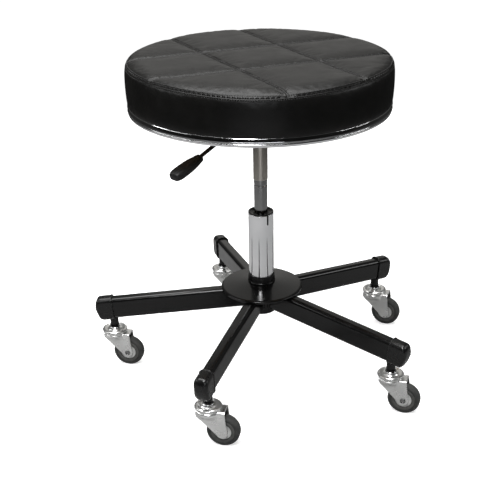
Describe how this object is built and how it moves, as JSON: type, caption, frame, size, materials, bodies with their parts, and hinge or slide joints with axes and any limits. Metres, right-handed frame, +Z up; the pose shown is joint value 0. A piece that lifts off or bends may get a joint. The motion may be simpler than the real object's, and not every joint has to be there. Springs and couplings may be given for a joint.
{
  "type": "rolling stool",
  "caption": "Round padded salon stool with a height-adjusting gas column, release lever and splayed arms on swivel casters.",
  "frame": {"origin": "on the floor, in the middle of the footprint's bounding box; the column axis stands at x = 14.1 mm because five arms are uneven about it", "axes": "+Z up along the column, -X along the arm that points left when the lever is at the front left, -Y towards the front"},
  "size_m": [0.5285, 0.535, 0.5315],
  "materials": {
    "gloss_black_paint": "gloss powder coat",
    "chrome": "polished plate",
    "satin_nickel": "satin",
    "dark_steel": "fine ground",
    "steel": "zinc plated",
    "black_plastic": "satin moulded",
    "vinyl": "grained, soft gloss",
    "foam": "open cell",
    "plywood": "sanded",
    "rubber": "matte",
    "bump_rubber": "matte",
    "grey_plastic": "satin moulded"
  },
  "bodies": {
    "base": {"hub": "gloss_black_paint", "arm_1": "gloss_black_paint", "arm_2": "gloss_black_paint", "arm_3": "gloss_black_paint", "arm_4": "gloss_black_paint", "arm_5": "gloss_black_paint", "end_cap_1": "black_plastic", "end_cap_2": "black_plastic", "end_cap_3": "black_plastic", "end_cap_4": "black_plastic", "end_cap_5": "black_plastic", "hub_cover": "gloss_black_paint", "base_collar": "black_plastic", "outer_tube": "chrome", "guide_bush": "black_plastic", "caster_stem_1": "steel", "caster_stem_2": "steel", "caster_stem_3": "steel", "caster_stem_4": "steel", "caster_stem_5": "steel"},
    "spindle": {"piston_rod": "steel", "retaining_clip": "steel", "thrust_bearing": "steel", "bump_stop": "bump_rubber"},
    "seat": {"pressure_tube": "dark_steel", "rod_seal": "black_plastic", "stem_sleeve": "satin_nickel", "seat_plate": "steel", "lever_pin": "steel", "seat_board": "plywood", "seat_screw_1": "steel", "seat_screw_2": "steel", "seat_screw_3": "steel", "seat_screw_4": "steel", "seat_ring": "chrome", "seat_foam": "foam", "seat_cover": "vinyl"},
    "lever": {"lever_rod": "gloss_black_paint", "lever_grip": "black_plastic"},
    "valve": {"valve_button": "steel"},
    "caster_1": {"caster_fork_1": "chrome", "caster_axle_1": "steel"},
    "wheel_1": {"wheel_core_1": "grey_plastic", "tyre_1": "rubber"},
    "caster_2": {"caster_fork_2": "chrome", "caster_axle_2": "steel"},
    "wheel_2": {"wheel_core_2": "grey_plastic", "tyre_2": "rubber"},
    "caster_3": {"caster_fork_3": "chrome", "caster_axle_3": "steel"},
    "wheel_3": {"wheel_core_3": "grey_plastic", "tyre_3": "rubber"},
    "caster_4": {"caster_fork_4": "chrome", "caster_axle_4": "steel"},
    "wheel_4": {"wheel_core_4": "grey_plastic", "tyre_4": "rubber"},
    "caster_5": {"caster_fork_5": "chrome", "caster_axle_5": "steel"},
    "wheel_5": {"wheel_core_5": "grey_plastic", "tyre_5": "rubber"}
  },
  "joints": [
    {"name": "seat_swivel", "type": "hinge", "parent": "base", "child": "spindle", "pos_m": [0.0141, 0, 0.112], "axis": [0, 0, 1], "continuous": true},
    {"name": "seat_lift", "type": "slide", "parent": "spindle", "child": "seat", "axis": [0, 0, 1], "range_m": [-0.054, 0.071]},
    {"name": "lever_pivot", "type": "hinge", "parent": "seat", "child": "lever", "pos_m": [0.00026, -0.0171, 0.4356], "axis": [-0.7771, 0.6293, 0], "range_deg": [0, 9], "stiffness_Nm_per_rad": 1.5},
    {"name": "valve_press", "type": "slide", "parent": "seat", "child": "valve", "axis": [0, 0, 1], "range_m": [-0.004, 0]},
    {"name": "caster_swivel_1", "type": "hinge", "parent": "base", "child": "caster_1", "pos_m": [0.21587, 0.14659, 0.062], "axis": [0, 0, 1], "continuous": true},
    {"name": "wheel_spin_1", "type": "hinge", "parent": "caster_1", "child": "wheel_1", "pos_m": [0.23729, 0.1388, 0.0254], "axis": [0.342, 0.9397, 0], "continuous": true},
    {"name": "caster_swivel_2", "type": "hinge", "parent": "base", "child": "caster_2", "pos_m": [-0.06297, 0.23719, 0.062], "axis": [0, 0, 1], "continuous": true},
    {"name": "wheel_spin_2", "type": "hinge", "parent": "caster_2", "child": "wheel_2", "pos_m": [-0.04085, 0.23168, 0.0254], "axis": [0.2419, 0.9703, 0], "continuous": true},
    {"name": "caster_swivel_3", "type": "hinge", "parent": "base", "child": "caster_3", "pos_m": [-0.2353, 0, 0.062], "axis": [0, 0, 1], "continuous": true},
    {"name": "wheel_spin_3", "type": "hinge", "parent": "caster_3", "child": "wheel_3", "pos_m": [-0.21278, -0.00357, 0.0254], "axis": [0.1564, 0.9877, 0], "continuous": true},
    {"name": "caster_swivel_4", "type": "hinge", "parent": "base", "child": "caster_4", "pos_m": [-0.06297, -0.23719, 0.062], "axis": [0, 0, 1], "continuous": true},
    {"name": "wheel_spin_4", "type": "hinge", "parent": "caster_4", "child": "wheel_4", "pos_m": [-0.04052, -0.24115, 0.0254], "axis": [0.1736, 0.9848, 0], "continuous": true},
    {"name": "caster_swivel_5", "type": "hinge", "parent": "base", "child": "caster_5", "pos_m": [0.21587, -0.14659, 0.062], "axis": [0, 0, 1], "continuous": true},
    {"name": "wheel_spin_5", "type": "hinge", "parent": "caster_5", "child": "wheel_5", "pos_m": [0.23767, -0.15326, 0.0254], "axis": [0.2924, 0.9563, 0], "continuous": true}
  ],
  "couplings": [
    {"joint": "valve_press", "follows": "lever_pivot", "m_per_rad": -0.0248}
  ]
}
